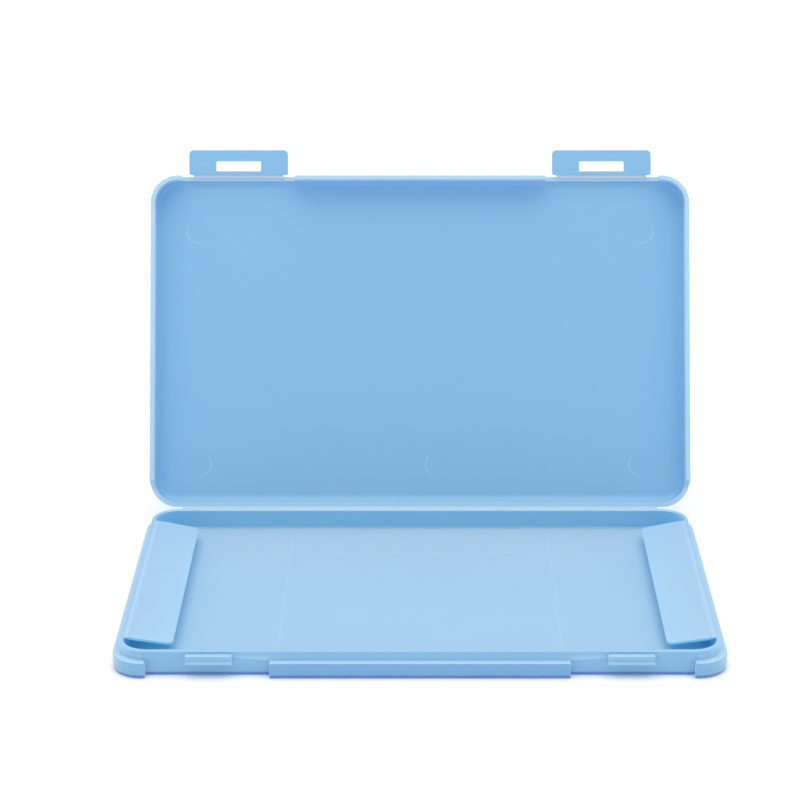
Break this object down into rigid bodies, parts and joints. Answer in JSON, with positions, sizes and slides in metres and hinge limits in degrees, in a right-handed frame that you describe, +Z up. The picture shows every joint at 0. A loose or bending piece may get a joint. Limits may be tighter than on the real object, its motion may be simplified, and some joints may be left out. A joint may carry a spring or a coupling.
{
  "type": "wet palette case",
  "caption": "Shallow hinged plastic tray with a fold-open lid, two snap latches with windows, and two hold-down side flaps.",
  "frame": {"origin": "middle of the tray's underside, where the case rests on a table", "axes": "+X to the right along the fold, +Y to the back where the lid is hinged, +Z up"},
  "size_m": [0.19, 0.1667, 0.1253],
  "materials": {
    "case_plastic": "satin, slightly milky light blue polypropylene",
    "fold_plastic": "the same polypropylene, thinned and whitened at the folds"
  },
  "bodies": {
    "tray": {"tray_floor": "case_plastic", "tray_front_wall": "case_plastic", "tray_back_wall": "case_plastic", "tray_left_wall": "case_plastic", "tray_right_wall": "case_plastic", "tray_front_left_corner": "case_plastic", "tray_front_right_corner": "case_plastic", "tray_back_left_corner": "case_plastic", "tray_back_right_corner": "case_plastic", "front_ledge": "case_plastic", "left_corner_ledge": "case_plastic", "right_corner_ledge": "case_plastic", "left_side_ledge": "case_plastic", "right_side_ledge": "case_plastic", "left_catch": "case_plastic", "right_catch": "case_plastic", "lid_fold": "fold_plastic", "left_flap_fold": "fold_plastic", "right_flap_fold": "fold_plastic"},
    "lid": {"lid_panel": "case_plastic", "lid_front_skirt": "case_plastic", "lid_back_wall": "case_plastic", "lid_left_skirt": "case_plastic", "lid_right_skirt": "case_plastic", "lid_front_left_corner": "case_plastic", "lid_front_right_corner": "case_plastic", "lid_back_left_corner": "case_plastic", "lid_back_right_corner": "case_plastic", "left_latch_strip": "case_plastic", "right_latch_strip": "case_plastic", "left_latch_fold": "fold_plastic", "right_latch_fold": "fold_plastic"},
    "left_latch": {"left_latch_tab": "case_plastic"},
    "right_latch": {"right_latch_tab": "case_plastic"},
    "left_flap": {"left_flap": "case_plastic"},
    "right_flap": {"right_flap": "case_plastic"}
  },
  "joints": [
    {"name": "lid_hinge", "type": "hinge", "parent": "tray", "child": "lid", "pos_m": [0, 0.0589, 0.00805], "axis": [-1, 0, 0], "range_deg": [-112, 67]},
    {"name": "left_latch_hinge", "type": "hinge", "parent": "lid", "child": "left_latch", "pos_m": [-0.0643, 0.10435, 0.11614], "axis": [-1, 0, 0], "range_deg": [-90, 30]},
    {"name": "right_latch_hinge", "type": "hinge", "parent": "lid", "child": "right_latch", "pos_m": [0.0643, 0.10435, 0.11614], "axis": [-1, 0, 0], "range_deg": [-90, 30]},
    {"name": "left_flap_hinge", "type": "hinge", "parent": "tray", "child": "left_flap", "pos_m": [-0.0915, 0.00105, 0.0076], "axis": [0, -1, 0], "range_deg": [-12, 105]},
    {"name": "right_flap_hinge", "type": "hinge", "parent": "tray", "child": "right_flap", "pos_m": [0.0915, 0.00105, 0.0076], "axis": [0, 1, 0], "range_deg": [-12, 105]}
  ]
}
